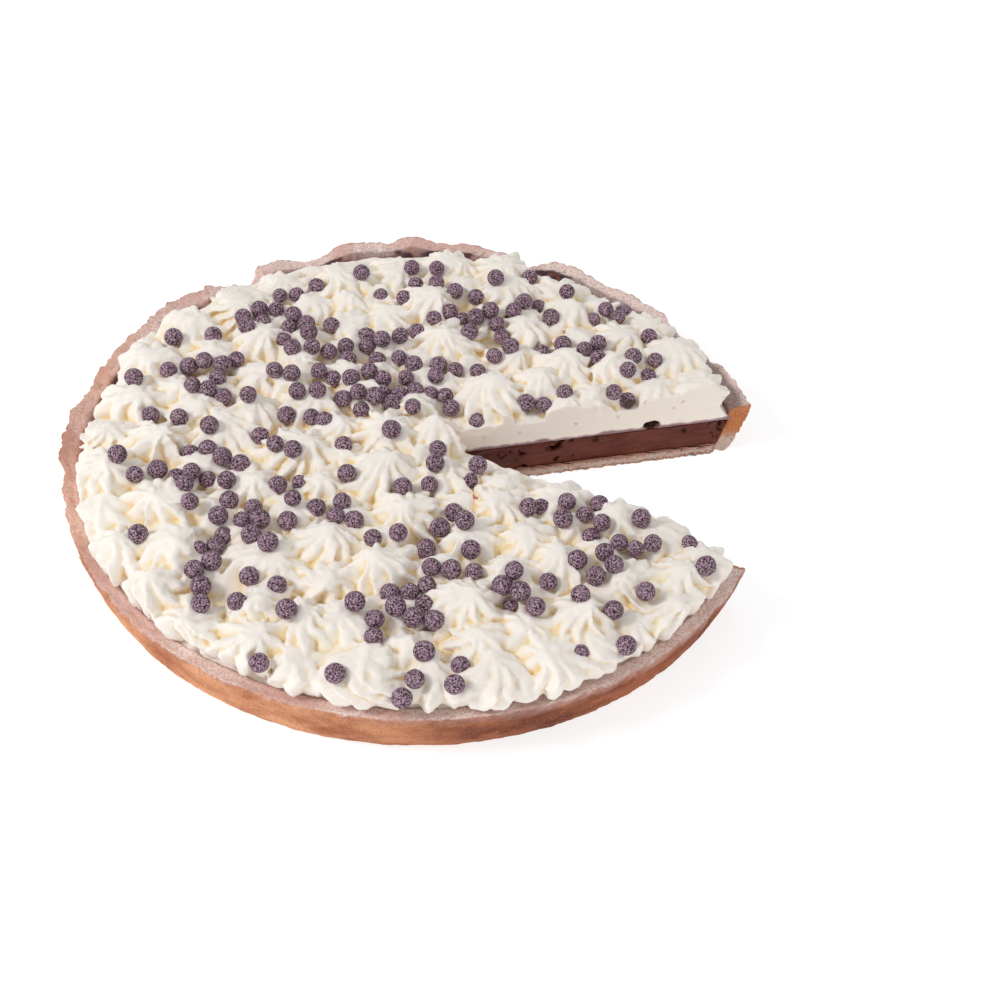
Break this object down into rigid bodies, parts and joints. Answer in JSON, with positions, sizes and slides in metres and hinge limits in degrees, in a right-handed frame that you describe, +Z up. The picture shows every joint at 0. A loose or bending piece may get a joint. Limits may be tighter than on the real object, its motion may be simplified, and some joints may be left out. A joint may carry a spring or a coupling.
{
  "type": "chocolate cream tart",
  "caption": "Round shortcrust tart with a set chocolate layer under piped whipped cream stars and frosted chocolate pearls, with one slice cut out.",
  "frame": {"origin": "on the surface the tart stands on, at the axis of the round shell", "axes": "+Z up through the tart, +X towards the middle of the opening that the missing slice leaves, +Y to the left of it"},
  "size_m": [0.2774, 0.2799, 0.0452],
  "materials": {
    "baked_shortcrust": "dry, crumbly baked shortcrust pastry",
    "set_chocolate": "satin set chocolate",
    "whipped_cream": "soft satin whipped cream with frosted purple-brown chocolate pearls"
  },
  "bodies": {
    "root": {"crust": "baked_shortcrust", "chocolate_layer": "set_chocolate", "piped_cream": "whipped_cream"}
  },
  "joints": []
}
